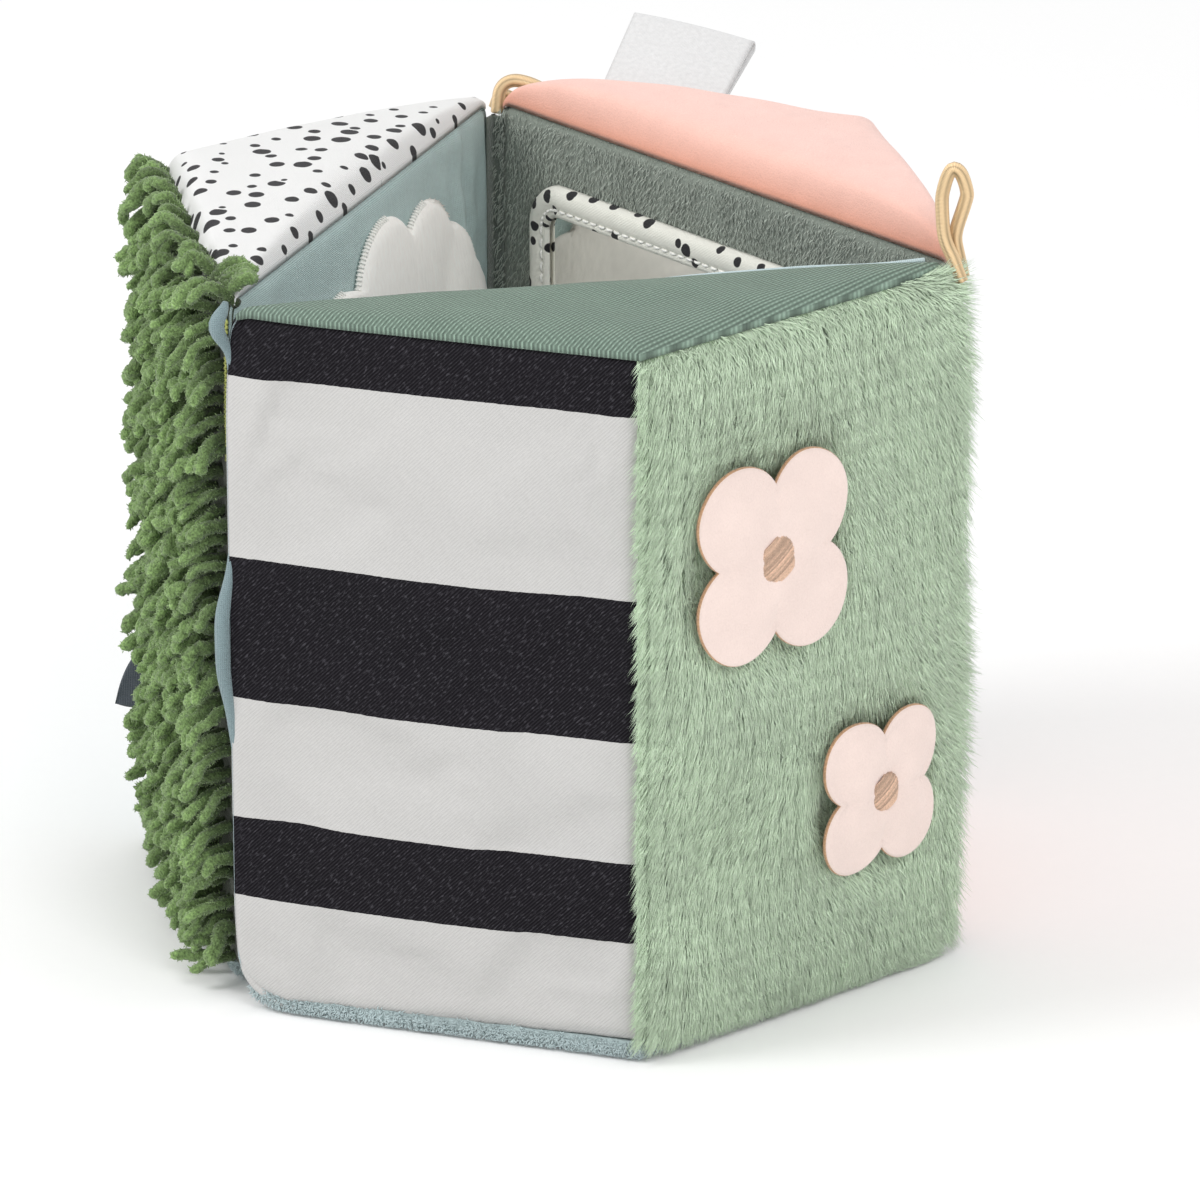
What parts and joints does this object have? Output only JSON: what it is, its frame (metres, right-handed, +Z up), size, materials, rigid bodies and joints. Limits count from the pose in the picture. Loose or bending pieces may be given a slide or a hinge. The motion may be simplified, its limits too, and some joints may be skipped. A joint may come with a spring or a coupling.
{
  "type": "soft activity mirror",
  "caption": "Soft foam wedges hinged by fabric in a hexagonal ring, with a mirror inside and a different touch texture on each face.",
  "frame": {"origin": "on the base of the mirror wedge, midway between the hinges and 16 mm behind its inner face", "axes": "+Z up, +X along the mirror wedge's inner face towards the striped wedge's hinge, -Y the way the mirror faces, into the well"},
  "size_m": [0.192, 0.2054, 0.1871],
  "materials": {
    "foam": "soft open-cell foam",
    "peach_plush": "short-pile plush",
    "grey_green_plush": "short-pile plush",
    "blue_grey_fleece": "brushed fleece",
    "dusty_teal_cloth": "soft matte cloth with ribbed quilting",
    "pale_blue_cloth": "soft matte cloth",
    "dotted_cotton": "white woven cotton with black dots",
    "cream_dotted_cotton": "cream woven cotton with black dots, stitched edge",
    "white_fleece": "curly fleece with a zigzag-stitched edge",
    "green_chenille": "hanging chenille noodles",
    "green_twill": "coarse twill",
    "striped_twill": "black and white striped twill",
    "sage_fur": "long-pile plush",
    "peach_felt": "laser-cut velour felt with a tan edge",
    "gold_thread": "satin-stitch embroidery",
    "slate_cloth": "folded woven cloth",
    "white_ribbon": "folded satin ribbon, unprinted",
    "gold_elastic": "braided metallic elastic",
    "mirror_film": "mirror-bright plastic sheet"
  },
  "bodies": {
    "mirror_wedge": {"mirror_foam_core": "foam", "mirror_top_panel": "peach_plush", "mirror_base_panel": "blue_grey_fleece", "mirror_inner_panel": "grey_green_plush", "mirror_outer_left_panel": "grey_green_plush", "mirror_outer_right_panel": "peach_plush", "mirror_sheet": "mirror_film", "mirror_frame": "cream_dotted_cotton", "side_label": "white_ribbon", "elastic_loop_upright": "gold_elastic", "elastic_loop_folded": "gold_elastic", "hinge_seam_left": "grey_green_plush", "hinge_seam_right": "grey_green_plush"},
    "grass_wedge": {"grass_foam_core": "foam", "grass_top_panel": "dotted_cotton", "grass_base_panel": "blue_grey_fleece", "grass_inner_panel": "dusty_teal_cloth", "cloud_applique": "white_fleece", "chenille_grass": "green_chenille", "grass_outer_back_panel": "dusty_teal_cloth", "leaf_tab": "slate_cloth"},
    "striped_wedge": {"stripe_foam_core": "foam", "stripe_top_panel": "green_twill", "stripe_base_panel": "blue_grey_fleece", "stripe_inner_panel": "pale_blue_cloth", "stripe_panel": "striped_twill", "fur_panel": "sage_fur", "flower_large": "peach_felt", "flower_small": "peach_felt", "flower_large_centre": "gold_thread", "flower_small_centre": "gold_thread"}
  },
  "joints": [
    {"name": "grass_hinge", "type": "hinge", "parent": "mirror_wedge", "child": "grass_wedge", "pos_m": [-0.0835, -0.016, 0], "axis": [0, 0, -1], "range_deg": [-1, 180]},
    {"name": "stripe_hinge", "type": "hinge", "parent": "mirror_wedge", "child": "striped_wedge", "pos_m": [0.0835, -0.016, 0], "axis": [0, 0, 1], "range_deg": [-1, 180]}
  ]
}
